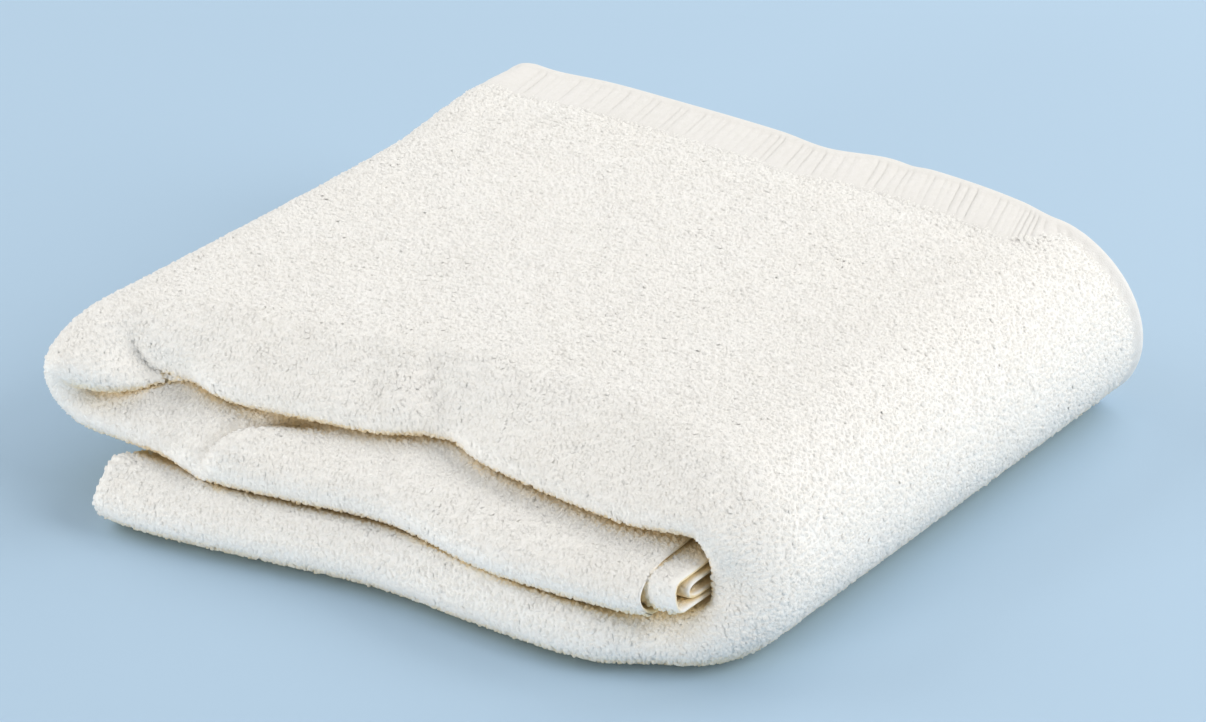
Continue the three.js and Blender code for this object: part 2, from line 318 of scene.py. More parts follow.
def pleated_level(along, from_u, n):
    """The front part of the upper inner layer, from its fold to the line where the droop starts."""
    shares = np.arange(sum(PLEAT_STEPS) + 1) / sum(PLEAT_STEPS)
    pieces = [np.array(PLEAT[0][0], float)[:, None]]
    for stretch, steps in zip(PLEAT, PLEAT_STEPS):
        handles = (np.array(handle, float)[:, None] for handle in stretch)
        pieces.append(bezier(*handles, np.arange(1, steps + 1) / steps))
    pleat_u, pleat_n = np.concatenate(pieces, axis=1)
    share = ease(along, WAY_LENGTH - PUFF["run"], WAY_LENGTH - PUFF["full"])[:, None]
    reach = LEVEL_Y - from_u
    forward = PUFF["forward"] * (1 - ease(pleat_u, *PUFF["pleat_fade"]))
    u = lerp(from_u + reach * shares, from_u - forward + reach * pleat_u / PLEAT[-1][-1][0], share)
    return u, lerp(n, pleat_n, share), 1 + 0 * u


def section(along):
    """The middle line of the cloth, a row for each station, and its distance from the nearer hem.

    u runs from front to back and n towards the outward side; inner is 1 in the inner two layers.
    """
    edge = {name: value[:, None] for name, value in edge_values(along).items()}
    outer_n, inner_n = 1.5 * PITCH, 0.5 * PITCH
    hem = np.array(HEM_STEPS)
    outer_u = edge["back"] - hem[None, :]
    back_fold = edge["back"] - BACK_FOLD
    inner_fold = edge["front"] + edge["inside"] + INNER_FRONT_R
    hem_start = edge["back"] - HEM_STEPS[-1]
    quarter = np.arange(1, FRONT_STEPS + 1) / FRONT_STEPS
    inner_end = edge["back"] - HEM_STEP - HEM_STEPS[-1]
    lower = [
        (outer_u, outer_n + 0 * outer_u, 0 * outer_u),
        level_points(hem_start, edge["front"] + edge["crest"], outer_n, 0, 0,
                     np.arange(1, TOP_STEPS + 1) / TOP_STEPS),
        front_points(edge, edge["crest"], edge["slack"], outer_n, quarter),
        front_points(edge, edge["tuck"], 0, -outer_n, quarter[-2::-1]),
        split_level(edge["front"] + edge["tuck"], back_fold, -outer_n, 0, 0),
        small_fold(back_fold, -PITCH, inner_n, 1, 0),
        split_level(back_fold, inner_fold, -inner_n, 0, 1),
        small_fold(inner_fold, 0, INNER_FRONT_R, -1, 1),
    ]
    u, n, inner = (np.concatenate([part[k] for part in lower], axis=1) for k in range(3))
    upper = [
        (*puffed(along, u, n, inner), inner),
        pleated_level(along, inner_fold, inner_n),
        level_points(LEVEL_Y, inner_end, inner_n, 1, 1, np.arange(1, FAR_STEPS + 1) / FAR_STEPS),
        level_points(inner_end, edge["back"] - HEM_STEP, inner_n, 1, 1,
                     1 - hem[-2::-1] / HEM_STEPS[-1]),
    ]
    u, n, inner = (np.concatenate([part[k] for part in upper], axis=1) for k in range(3))
    hem_distance = np.full(u.shape[1], FAR_FROM_HEM)
    hem_distance[: len(hem)] = hem
    hem_distance[-len(hem):] = hem[::-1]
    return u, n, inner, hem_distance


# How the layers have settled, and the creases


def dent_depth(x, y, z):
    depth = 0
    for at_x, at_z, wide, tall, deep in DENTS:
        depth = depth + deep * np.exp(-(((x - at_x) / wide) ** 2 + ((z - at_z) / tall) ** 2))
    return depth * ease(y, *DENT_Y)


def droop_depth(x, y, z):
    along = TOP_START + WRAP_X - np.clip(x, TURN_X, WRAP_X)
    edge = edge_values(along)
    held = 1 - DROOP["held"] * ease(np.abs(x), *DROOP["x"])
    start = edge["front"] + edge["crest"]
    sunk = ease(y, start, edge["front"] - DROOP["past"])
    return DROOP["depth"] * held * sunk * (np.maximum(z, 0) / HEIGHT) ** DROOP["power"]


def settle(x, y, z):
    side = np.where(y < 0, FLARE["front"], FLARE["back"])
    flare = lerp(FLARE["middle"], side, (y / FLARE_REACH) ** 2)
    flare = flare * ease(x, *FLARE["x"]) * ease(z, *FLARE["z"])
    drawn = LEAN["drawn_in"] * ease(y, *LEAN["y"]) * z / HEIGHT
    lean = LEAN["foot"] * (1 - 2 * z / HEIGHT) - drawn
    settled_x = x - flare + lean * ease(x, *LEAN["x"])
    return np.stack([settled_x, y + dent_depth(x, y, z), z - droop_depth(x, y, z)], axis=-1)


# Creases and swellings: a line of points, then how wide and how deep it is, whether it
# is soft (2) or sharp (1), which way it pushes the cloth, and the tier that it moves
STROKES = (
    # The cloth hangs lower at the left end
    (((-170, -176, 58), (-152, -168, 58), (-138, -158, 57)),
     15, 6, 2, (0, 0, -1), "turn"),
    # The dimple beside the small lobe at the left end, and the cloth that stands out over it
    (((-157, -154, 80), (-150, -158, 73), (-143, -159, 68), (-136, -156, 64)),
     9, 6, 2, (-0.3, 0.75, -0.6), "top"),
    (((-146, -160, 70), (-139, -158, 66), (-132, -153, 62), (-125, -148, 58), (-114, -140, 52)),
     5.5, 11, 1.5, (-0.3, 0.75, -0.6), "top"),
    (((-148, -152, 77), (-139, -153, 71), (-129, -149, 65), (-116, -146, 60)),
     6, 4, 2, (-0.6, -0.8, 0.1), "top"),
    (((-172, -176, 66), (-158, -176, 68), (-146, -170, 63)),
     8, 3, 2, (0, -0.8, 0.4), "top"),
    # Two soft troughs that run down the front of the top tier, and the swelling between them
    (((-47, -112, 78), (-42, -119, 75), (-37, -126, 70), (-31, -134, 65), (-26, -139, 58)),
     7, 3.8, 2, (-0.1, 0.6, -0.8), "top"),
    (((-26, -103, 80), (-21, -109, 77), (-15, -116, 72), (-8, -122, 66), (-2, -127, 59)),
     7, 4.8, 2, (-0.1, 0.6, -0.8), "top"),
    (((-26, -121, 73), (-20, -128, 68), (-15, -134, 61), (-15, -136, 56)),
     9, 2.2, 2, (0.1, -0.7, 0.6), "top"),
    # The hollow on the right of the second trough
    (((6, -118, 72), (12, -126, 67), (20, -134, 61)),
     11, 4, 2, (0.2, 0.75, -0.5), "top"),
    # The hump of the middle tier, the sharp hollow on its left and the soft one further left
    (((-60, -156, 50), (-74, -163, 48), (-81, -173, 43), (-84, -178, 36)),
     7, 6, 2, (-0.4, -0.7, 0.5), "middle"),
    (((-60, -141, 49), (-79, -150, 47), (-88, -160, 47), (-91, -169, 44), (-92, -177, 39), (-96, -182, 30)),
     5.5, 9.5, 1.5, (-0.1, 0.65, -0.8), "middle"),
    (((-124, -178, 46), (-108, -170, 49)),
     12, 3, 2, (0, 0.7, -0.7), "middle"),
    # The front edge of the wrap: its lip, its upper corner and the hollow beside it
    (((157, -152, 50), (160, -153, 42), (161, -155, 34)),
     11, 4, 2, (-1, -0.2, 0), "wrap"),
    (((142, -152, 57), (147, -153, 60)),
     8, 4, 2, (0.2, 0, 1), "wrap"),
    (((162, -152, 56), (168, -153, 43), (168, -155, 31)),
     9, 5.5, 2, (-0.5, 0.8, -0.2), "wrap"),
    # The full left end of the bottom tier
    (((-140, -180, 22), (-130, -190, 22)),
     11, 3.2, 2, (-0.3, -0.4, 0.8), "bottom"),
    # The top of the bottom tier, pressed up against the middle one along the lower crease
    (((-230, -184, 25), (-80, -181, 25), (-40, -175, 25), (0, -170, 25), (40, -175, 25), (80, -181, 25),
      (115, -181, 25), (250, -170, 25)),
     6.5, 4, 2, (0, -0.25, 1), "bottom"),
    # Two small folds of the bottom tier under the opening
    (((131, -164, 23), (133, -172, 19), (134, -176, 12)),
     4, 2, 1.5, (0, 0.6, -0.8), "bottom"),
    (((143, -159, 23), (146, -167, 18), (148, -171, 11)),
     4, 2, 1.5, (0, 0.6, -0.8), "bottom"),
    # The trough along the border at the right of the top, and a shallow hollow at the left
    (((20, 146, 84), (80, 142, 84), (130, 130, 84)),
     12, 1.8, 2, (0, 0, -1), "top"),
    (((-96, -40, 84), (-60, -52, 84)),
     22, 2, 2, (0, 0, -1), "top"),
    # The full corner at the back of the left end
    (((-182, 105, 77), (-182, 150, 79), (-178, 192, 80)),
     13, 4.5, 2, (-0.25, 0.1, 1), "top"),
    # The kink in the hem
    (((40, 160, 84), (44, 192, 84)),
     7, 2, 2, (0, 0, -1), "top"),
)
STROKE_FADE = (0.12, 0.88)   # a stroke is this part of a half wave, so it is deepest at its middle
TIER_FADE = (25, 15)         # and it fades out over these lengths before and after its tier
NOSE = {"run": 5, "thin": 0.95, "back": 1}   # how the left end of the bottom tier is rounded


def distance_to_line(points, line):
    """Distance of each point from a polyline, and where along it, from 0 to 1, the nearest place is."""
    line = np.array(line, float)
    lengths = np.linalg.norm(np.diff(line, axis=0), axis=1)
    best = np.full(points.shape[:-1], np.inf)
    share = np.zeros(points.shape[:-1])
    done = 0
    for start, end, length in zip(line[:-1], line[1:], lengths):
        t = np.clip((points - start) @ (end - start) / length ** 2, 0, 1)
        away = np.linalg.norm(points - start - t[..., None] * (end - start), axis=-1)
        nearer = away < best
        best = np.where(nearer, away, best)
        share = np.where(nearer, (done + t * length) / lengths.sum(), share)
        done += length
    return best, share


# Where the creased stretch at the left of the top and middle tiers starts and ends along the way
CREASED = (TOP_START + 190, TURN_START + 150)

TIERS = {
    # Where each tier starts and ends along the way
    "bottom": (-30, WAY_STARTS[1] + 10),
    "wrap": (WAY_STARTS[1] + 5, TOP_START + 5),
    "top": (TOP_START, TURN_START + 30),
    "turn": (TOP_START + 235, TURN_START + 130),
    "middle": (TURN_START + 15, WAY_LENGTH + 30),
}


def tier_share(along, tier):
    """1 in a tier, fading out next to it."""
    start, end = TIERS[tier]
    return ease(along, start - TIER_FADE[0], start) * (1 - ease(along, end, end + TIER_FADE[1]))


def pressed(points, along):
    """The settled cloth with its strokes pressed in."""
    moved = points.copy()
    for line, wide, deep, power, way, tier in STROKES:
        away, share = distance_to_line(points, line)
        fade = np.sin(math.pi * lerp(*STROKE_FADE, share))
        push = deep * fade * np.exp(-(away / wide) ** power) * tier_share(along, tier)
        moved += push[..., None] * unit(np.array(way, float))
    return moved


def cloth_points(along, u, n, inner):
    """Settled places of points of the section, each at its distance along the way."""
    out = PEEK * ease(along, WAY_LENGTH - PEEK_RUN, WAY_LENGTH)
    held = DRAWN_BACK["by"] * ease(along, WAY_LENGTH - DRAWN_BACK["run"], WAY_LENGTH)
    nose = 1 - ease(along, 0, NOSE["run"])
    n = n * (1 - (1 - NOSE["thin"]) * nose * nose)
    u = u - nose * nose * NOSE["back"] * u / FLARE_REACH
    x, z, out_x, out_z = place_at(along + out * inner - held * (1 - inner))
    return pressed(settle(x + n * out_x, u, z + n * out_z), along)


def stations():
    """Distances along the way, closer together where the cloth is creased."""
    ends = np.array(END_STEPS)
    at = np.linspace(END_STEPS[-1], WAY_LENGTH - END_STEPS[-1], STATION_SAMPLES)
    begun, ended = (ease(at, place, place + FINE_FADE) for place in CREASED)
    creased = begun * (1 - ended)
    at_end = ease(at, WAY_LENGTH - FINE_END[0], WAY_LENGTH - FINE_END[1])
    density = lerp(1 / STATION_STEP, 1 / FINE_STEP, np.maximum(creased, at_end))
    count = np.concatenate([[0], np.cumsum((density[1:] + density[:-1]) / 2 * np.diff(at))])
    middle = np.interp(np.linspace(0, count[-1], int(count[-1])), count, at)[1:-1]
    return np.concatenate([ends, middle, WAY_LENGTH - ends[::-1]])


def surface_normals(points):
    down, across = np.gradient(points, axis=0), np.gradient(points, axis=1)
    return unit(np.cross(down, across))


# Meshes from arrays


def mesh_object(name, vertices, faces, material, normals=None):
    """A smooth mesh from vertices in millimetres and an array of faces, shifted into the part's frame."""
    mesh = bpy.data.meshes.new(name)
    mesh.vertices.add(len(vertices))
    mesh.vertices.foreach_set("co", ((vertices - MIDDLE) * MM).astype(np.float32).ravel())
    mesh.loops.add(faces.size)
    mesh.loops.foreach_set("vertex_index", faces.astype(np.int32).ravel())
    mesh.polygons.add(len(faces))
    mesh.polygons.foreach_set("loop_start", np.arange(0, faces.size, faces.shape[1], dtype=np.int32))
    mesh.update(calc_edges=True)
    mesh.validate()
    mesh.shade_smooth()
    if normals is not None:
        mesh.normals_split_custom_set_from_vertices(normals.astype(np.float32))
    mesh.materials.append(material)
    piece = bpy.data.objects.new(name, mesh)
    bpy.context.scene.collection.objects.link(piece)
    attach(piece, "root")
    return piece


def grid_faces(rows, columns, first=0):
    """Four-sided faces of a grid of rows by columns of vertices."""
    index = first + np.arange(rows * columns).reshape(rows, columns)
    corners = [index[:-1, :-1], index[1:, :-1], index[1:, 1:], index[:-1, 1:]]
    return np.stack(corners, axis=-1).reshape(-1, 4)


def set_open(piece, values):
    """Gives each vertex its share of openness, from which the material paints shade in the folds."""
    attribute = piece.data.attributes.new("open", "FLOAT", "POINT")
    attribute.data.foreach_set("value", values.astype(np.float32).ravel())


class Sheet:
    """The middle surface of the cloth on a grid of stations by section points, with its thickness."""

    def __init__(self):
        self.along = stations()
        u, n, self.inner, self.hem = section(self.along)
        self.points = cloth_points(self.along[:, None], u, n, self.inner)
        self.normals = surface_normals(self.points)
        from_end = np.minimum(self.along, WAY_LENGTH - self.along)
        near_edge = np.minimum(from_end[:, None], self.hem[None, :])
        inset = 1 - np.clip(near_edge / EDGE_ROUND, 0, 1)
        self.half = GROUND / 2 * np.sqrt(np.maximum(1 - inset * inset, 0))
        past_border = ease(self.hem, HEM_WIDE - THICKENS[0], HEM_WIDE + THICKENS[1])
        on_rim = ease(self.hem, WRAP_HEM["wide"], WRAP_HEM["wide"] + THICKENS[0])
        full = np.maximum(on_wrap(self.along)[:, None] * on_rim, past_border)
        self.half *= lerp(HEM_THIN, 1, full)
        self.half *= lerp(END_THIN, 1, ease(WAY_LENGTH - self.along, 0, END_THIN_RUN))[:, None]

    def side(self, sign):
        return self.points + sign * self.half[..., None] * self.normals

    def mesh(self, material):
        rows, columns = self.half.shape
        outward, inward = self.side(1).reshape(-1, 3), self.side(-1).reshape(-1, 3)
        faces = np.concatenate(
            [grid_faces(rows, columns), grid_faces(rows, columns, rows * columns)[:, ::-1]],
        )
        index = np.arange(2 * rows * columns)
        rim = (self.half < 1e-6).ravel()
        index[rows * columns:][rim] = np.arange(rows * columns)[rim]
        self.kept, compact = np.unique(index, return_inverse=True)
        vertices = np.concatenate([outward, inward])[self.kept]
        return mesh_object("terry_cloth", vertices, compact[faces], material)


# How open each place is to the light: the share of directions in which it sees out

RAY_COUNT = 40
RAY_REACH = 0.09     # in metres
RAY_START = 0.5      # how far over the cloth a ray starts
RAY_SLOPE = 0.2      # rays that run closer along the cloth than this slope aren't followed
RAY_LOW = -0.25      # directions below this slope end on the surface that the parcel lies on
FULLY_OPEN = 0.45    # a place that sees out in this share of directions counts as in the open, with no painted shade
NOSE_OPEN = 0.35     # the layers' edges at the left end face outwards, so they are never deep in a fold and get little painted shade
NOSE_OPEN_RUN = (4, 14)


def ray_directions():
    """Directions spread evenly over a sphere."""
    k = np.arange(RAY_COUNT) + 0.5
    z = 1 - 2 * k / RAY_COUNT
    turn = math.pi * (1 + math.sqrt(5)) * k
    ring = np.sqrt(1 - z * z)
    return np.stack([ring * np.cos(turn), ring * np.sin(turn), z], axis=-1)


def openness(tree, points, normals):
    directions = ray_directions()
    shown = np.zeros(len(points))
    facing = normals @ directions.T
    for k in range(len(points)):
        start = Vector((points[k] + normals[k] * RAY_START - MIDDLE) * MM)
        open_rays, rays = 0.0, 0.0
        for direction, slope in zip(directions, facing[k]):
            if slope < RAY_SLOPE:
                continue
            rays += slope
            if direction[2] < RAY_LOW:
                continue
            if tree.ray_cast(start, Vector(direction), RAY_REACH)[0] is None:
                open_rays += slope
        shown[k] = open_rays / max(rays, 1e-9)
    return shown


def open_share(shown):
    """0 deep in a fold and 1 in the open, from the measured openness; the warm painted shade follows it."""
    return ease(shown, 0.0, FULLY_OPEN)


# The pile: loops of yarn in rows that run from hem to hem

ROW_STEP = 2.0
LOOP_STEP = 1.95
ROW_JITTER = 0.26
LOOP_SPAN = (2.7, 3.0)     # on level and on steep cloth
LOOP_HEIGHT = 1.0
LOOP_SINK = 0.35
LOOP_SHIFT = 0.3     # spread of the loops' places along a row, as a share of their step
LOOP_TURN = 0.75     # spread of their turns away from the row
LOOP_LEAN = (0.3, 0.35)   # spread of their lean along and across themselves
LOOP_SIZE = {"spread": 0.16, "limits": (0.6, 1.5)}
LOOP_TALL = {"spread": 0.25, "limits": (0.4, 1.8)}
YARN_WIDE = 1.13     # half the width of the soft yarn
YARN_TALL = 0.75
YARN_ANGLES = (math.pi / 2, math.pi * 7 / 6, math.pi * 11 / 6)   # the three sides of its crown
STEEP = (-0.85, -0.4)      # minus the normal's z where the cloth starts to be steep, and where it is
OWN_SHADE = (0.27, 0.38)   # how far a loop is shaded by its own shape, on level and on steep cloth
STEEP_ORDER = 0.2    # how much straighter the rows are where the cloth is steep
STRAY = {"share": 0.09, "tall": 0.55}   # how many loops stand out of the pile, and by how much
PILE_EDGE = {"spread": 1.2, "lift": (-1, 3)}   # the pile's uneven edge beside the border
OPEN_LEAST = 0.05    # deeper in the folds than this there is no pile
HIDDEN = {"below": 0.6, "facing": -0.6}   # nor on the underside
LOWEST = 0.1
LOOP_LIMIT = 60000   # loops in all, 12 triangles each
LOOPS_A_PIECE = 15000
LOOP_FACES = np.array(
    [[0, 1 + (j + 1) % 3, 1 + j] for j in range(3)]
    + [face for j in range(3) for face in (
        [1 + j, 1 + (j + 1) % 3, 4 + (j + 1) % 3], [1 + j, 4 + (j + 1) % 3, 4 + j])]
    + [[7, 4 + j, 4 + (j + 1) % 3] for j in range(3)]
)


def row_places():
    """Distances of the rows along the way, closer together in the turns, which stretch the outer layer."""
    at, places = NOSE_BARE, []
    while at < WAY_LENGTH - END_BARE["outer"][0]:
        places.append(at)
        step = ROW_STEP
        for piece, start in ((1, TOP_START), (3, WAY_STARTS[4])):
            radius = WAY[piece]["length"] / math.pi
            if WAY_STARTS[piece] < at < start:
                step = ROW_STEP * radius / (radius + 1.5 * PITCH + WRAP_BULGE)
        at += step
    return places


def row_of_loops(sheet, values, bare, at, draw):
    """Places, normals, row directions and openness of the loops on one side, in one row along the way."""
    k = np.clip(np.searchsorted(sheet.along, at) - 1, 0, len(sheet.along) - 2)
    share = (at - sheet.along[k]) / (sheet.along[k + 1] - sheet.along[k])
    line, normals, shown, hem, inner = (lerp(grid[k], grid[k + 1], share) for grid in values)
    run = np.concatenate([[0], np.cumsum(np.linalg.norm(np.diff(line, axis=0), axis=1))])
    place = np.arange(draw.uniform(0, LOOP_STEP), run[-1], LOOP_STEP)
    place = np.clip(place + draw.normal(0, LOOP_SHIFT * LOOP_STEP, len(place)), 0, run[-1])

    def at_place(grid):
        if grid.ndim == 1:
            return np.interp(place, run, grid)
        return np.stack([np.interp(place, run, grid[:, c]) for c in range(3)], axis=-1)

    wrap = on_wrap(at)
    border_edge = lerp(HEM_WIDE, WRAP_HEM["wide"], wrap) + draw.normal(0, PILE_EDGE["spread"], len(place))
    keep = (at_place(shown) > OPEN_LEAST) & (at_place(hem) > border_edge)
    past_border = ease(at_place(hem), *(HEM_WIDE + reach for reach in PILE_EDGE["lift"]))
    lift = WRAP_HEM["lift"] * (1 - wrap) * (1 - past_border)[:, None]
    keep &= WAY_LENGTH - at > lerp(bare[0], bare[1], at_place(inner))
    rows = unit(np.stack([np.interp(place, run, np.gradient(line[:, c])) for c in range(3)], axis=-1))
    facing = unit(at_place(normals))
    return (at_place(line) + lift * facing)[keep], facing[keep], rows[keep], at_place(shown)[keep]


def loop_mesh(name, places, normals, rows, shown, draw, material):
    """Loops as thick arches of yarn, shaded partly like the cloth under them to keep the pile soft."""
    count = len(places)
    steep = ease(-normals[:, 2], *STEEP)[:, None]
    loose = 1 - STEEP_ORDER * steep
    turn = loose * draw.normal(0, LOOP_TURN, count)[:, None]
    side = np.cross(normals, rows)
    places = places + loose * side * draw.normal(0, ROW_JITTER * ROW_STEP, count)[:, None]
    along = unit(rows * np.cos(turn) + side * np.sin(turn))
    across = np.cross(normals, along)
    up = unit(normals + along * draw.normal(0, LOOP_LEAN[0], count)[:, None]
              + across * draw.normal(0, LOOP_LEAN[1], count)[:, None])
    size = np.clip(draw.normal(1, LOOP_SIZE["spread"], count), *LOOP_SIZE["limits"])[:, None]
    tall = np.clip(draw.normal(1, LOOP_TALL["spread"], count), *LOOP_TALL["limits"])
    tall = (tall + STRAY["tall"] * (draw.random(count) < STRAY["share"]))[:, None]
    foot = places - normals * LOOP_SINK
    half_span = along * lerp(*LOOP_SPAN, steep) / 2 * size
    crown = foot + up * (LOOP_SINK + LOOP_HEIGHT - YARN_TALL) * tall
    vertices, ways = [foot - half_span], [-along]
    for end in (-0.5, 0.5):
        centre = crown + end * half_span
        for angle in YARN_ANGLES:
            rise, reach = math.sin(angle), math.cos(angle)
            vertices.append(centre + YARN_TALL * up * rise + YARN_WIDE * across * reach)
            ways.append(up * rise + across * reach + end * along)
    vertices.append(foot + half_span)
    ways.append(along)
    own = lerp(*OWN_SHADE, steep)[:, None, :]
    shade = unit(lerp(normals[:, None, :], unit(np.stack(ways, axis=1)), own)).reshape(-1, 3)
    vertices = np.stack(vertices, axis=1).reshape(-1, 3)
    vertices[:, 2] = np.maximum(vertices[:, 2], LOWEST)
    faces = (LOOP_FACES[None, :, :] + 8 * np.arange(count)[:, None, None]).reshape(-1, 3)
    piece = mesh_object(name, vertices, faces, material, shade)
    # Painted shade: each loop carries the openness of the cloth under it and gets the warm colour deep in
    # the folds
    set_open(piece, np.repeat(open_share(shown), 8))
    return piece


def pile(sheet, shown, material):
    """The most open loops of both sides, dealt out at random to a few joined meshes."""
    draw = np.random.default_rng(SEED)
    found = []
    hem = np.broadcast_to(sheet.hem, sheet.half.shape)
    for side, sign in enumerate((1, -1)):
        values = (sheet.side(sign), sign * sheet.normals, shown[sign], hem, sheet.inner)
        bare = END_BARE["outer"][side], END_BARE["inner"][side]
        for at in row_places():
            found.append(row_of_loops(sheet, values, bare, at, draw))
    places, normals, rows, shown_here = (np.concatenate([f[k] for f in found]) for k in range(4))
    kept = np.flatnonzero(~((places[:, 2] < HIDDEN["below"]) & (normals[:, 2] < HIDDEN["facing"])))
    if len(kept) > LOOP_LIMIT:
        kept = kept[np.sort(np.argsort(-shown_here[kept])[:LOOP_LIMIT])]
    loops = [values[kept] for values in (places, normals, rows, shown_here)]
    order = draw.permutation(len(kept))
    pieces = []
    for number, first in enumerate(range(0, len(order), LOOPS_A_PIECE)):
        chosen = np.sort(order[first:first + LOOPS_A_PIECE])
        chosen_loops = (values[chosen] for values in loops)
        pieces.append(loop_mesh(f"pile_{number + 1}", *chosen_loops, draw, material))
    return pieces


# The woven border along each hem: a skin over the cloth's edge with a rolled hem and ribs across it

BORDER_PROFILE = (
    # distance in front of the hem, and distance from the middle of the cloth
    (41, 0.9), (39, 1.9), (36, 2.1), (28, 2.15), (22, 2.15), (16, 2.15), (11, 2.1), (8.5, 2.05), (7, 2.2),
    (5, 2.75), (3, 2.8), (1.4, 2.3), (0.3, 1.3), (-0.2, 0), (0.3, -1.3), (1.4, -2.3), (3, -2.8), (5, -2.7),
    (7, -2.1), (9, -1.9), (14, -1.8), (17, -0.8),
)
RIB_PITCH = (3.2, 6.2)
BORDER_ENDS = 0.2    # the border stops this far from either end of the way
RIBS_START = 0.4
RIBS_END = 10
GROOVE = {"half": 0.7, "deep": (0.12, 0.75), "from": (8, 5), "to": (30, 36)}
SLANT = {"middle": 0.29, "middle_x": 15, "change": 0.00135, "most": 0.42, "run": 40}


def border(name, draw, hem_u, n, inner, material):
    """hem_u gives the hem's place in the section at distances along the way."""
    edges = [RIBS_START]
    while edges[-1] < WAY_LENGTH - RIBS_END:
        edges.append(edges[-1] + draw.uniform(*RIB_PITCH))
    edges = np.array(edges[1:-1])
    deep = draw.uniform(*GROOVE["deep"], len(edges))
    rib_middle = (edges[1:] + edges[:-1]) / 2
    along = np.concatenate([[BORDER_ENDS], edges - GROOVE["half"], edges, edges + GROOVE["half"],
                            rib_middle, [WAY_LENGTH - BORDER_ENDS]])
    cut = np.concatenate([[0], 0 * deep, deep, 0 * deep, 0 * rib_middle, [0]])
    order = np.argsort(along)
    along, cut = along[order], cut[order]
    ahead, offset = np.array(BORDER_PROFILE).T
    x = WRAP_X - (along - TOP_START)
    slant = np.clip(SLANT["middle"] + SLANT["change"] * (x - SLANT["middle_x"]), 0, SLANT["most"])
    slant = slant * ease(along, 0, SLANT["run"]) * (1 - ease(along, WAY_LENGTH - SLANT["run"], WAY_LENGTH))
    at = along[:, None] - slant[:, None] * np.maximum(ahead, 0)[None, :]
    at = np.clip(at, 0, WAY_LENGTH)
    middle = cloth_points(at, hem_u(at) - ahead[None, :], n + 0 * at, inner + 0 * at)
    top_side = middle[:, : len(ahead) // 2 + 2]
    across = unit(np.gradient(top_side, axis=1)).mean(axis=1)[:, None, :]
    normals = unit(np.cross(across, np.gradient(middle, axis=0)))
    groove = ease(ahead, GROOVE["from"][1], GROOVE["from"][0]) * (1 - ease(ahead, *GROOVE["to"]))
    groove = groove * (offset > 0)
    past_rim = ease(ahead, WRAP_HEM["wide"] - 2, WRAP_HEM["wide"] + THICKENS[0])
    under_pile = on_wrap(at) * past_rim * (offset > 0)
    lift = offset[None, :] - cut[:, None] * groove[None, :] - WRAP_HEM["sunk"] * under_pile
    skin = middle + lift[..., None] * normals
    piece = mesh_object(name, skin.reshape(-1, 3), grid_faces(*lift.shape), material)
    # The border counts as fully open, so no shade is painted on it
    set_open(piece, np.ones(lift.size))
    return piece


# Materials

PAINTED_FOLD_SHADE = (0.96, 0.77, 0.44)   # painted shade: the warm cream mixed into the colour deep in the folds, standing in for their shade
BROAD_SHARE = 0.35          # how much of the colour's wandering is across the sheet


def new_material(name):
    material = bpy.data.materials.new(name)
    material.use_nodes = True
    return material, material.node_tree.nodes["Principled BSDF"]


def noise_node(material, place, scale, detail):
    noise = material.node_tree.nodes.new("ShaderNodeTexNoise")
    noise.inputs["Scale"].default_value = scale
    noise.inputs["Detail"].default_value = detail
    material.node_tree.links.new(place.outputs["Object"], noise.inputs["Vector"])
    return noise


def terry_material(name, light, deep, fold_shade, bump):
    """Cream cotton.

    Its colour wanders from yarn to yarn and across the sheet, and deep in the folds a warm painted shade is
    mixed in.
    """
    material, shader = new_material(name)
    nodes, links = material.node_tree.nodes, material.node_tree.links
    place = nodes.new("ShaderNodeTexCoord")
    yarn = noise_node(material, place, 420, 2)
    broad = noise_node(material, place, 22, 3)
    fibre = noise_node(material, place, 1400, 2)
    ramp = nodes.new("ShaderNodeValToRGB")
    ramp.color_ramp.elements[0].position = 0.3
    ramp.color_ramp.elements[0].color = (*deep, 1)
    ramp.color_ramp.elements[1].position = 0.62
    ramp.color_ramp.elements[1].color = (*light, 1)
    mix = nodes.new("ShaderNodeMath")
    mix.operation = "MULTIPLY_ADD"
    mix.inputs[1].default_value = BROAD_SHARE
    half = nodes.new("ShaderNodeMath")
    half.operation = "MULTIPLY"
    half.inputs[1].default_value = 1 - BROAD_SHARE
    rough = nodes.new("ShaderNodeBump")
    rough.inputs["Strength"].default_value = bump
    rough.inputs["Distance"].default_value = 0.0007
    links.new(yarn.outputs["Fac"], half.inputs[0])
    links.new(broad.outputs["Fac"], mix.inputs[0])
    links.new(half.outputs["Value"], mix.inputs[2])
    links.new(mix.outputs["Value"], ramp.inputs["Fac"])
    # The openness of each vertex, 0 deep in a fold: where it is low, the warm painted shade is mixed into
    # the colour
    depth = nodes.new("ShaderNodeAttribute")
    depth.attribute_name = "open"
    fold = nodes.new("ShaderNodeMix")
    fold.data_type = "RGBA"
    fold.inputs["A"].default_value = (*fold_shade, 1)
    links.new(depth.outputs["Fac"], fold.inputs["Factor"])
    links.new(ramp.outputs["Color"], fold.inputs["B"])
    links.new(fold.outputs["Result"], shader.inputs["Base Color"])
    links.new(fibre.outputs["Fac"], rough.inputs["Height"])
    links.new(rough.outputs["Normal"], shader.inputs["Normal"])
    shader.inputs["Roughness"].default_value = 0.92
    shader.inputs["Specular IOR Level"].default_value = 0.25
    shader.inputs["Sheen Weight"].default_value = 0.25
    shader.inputs["Sheen Roughness"].default_value = 0.5
    return material


# Stage, light and camera


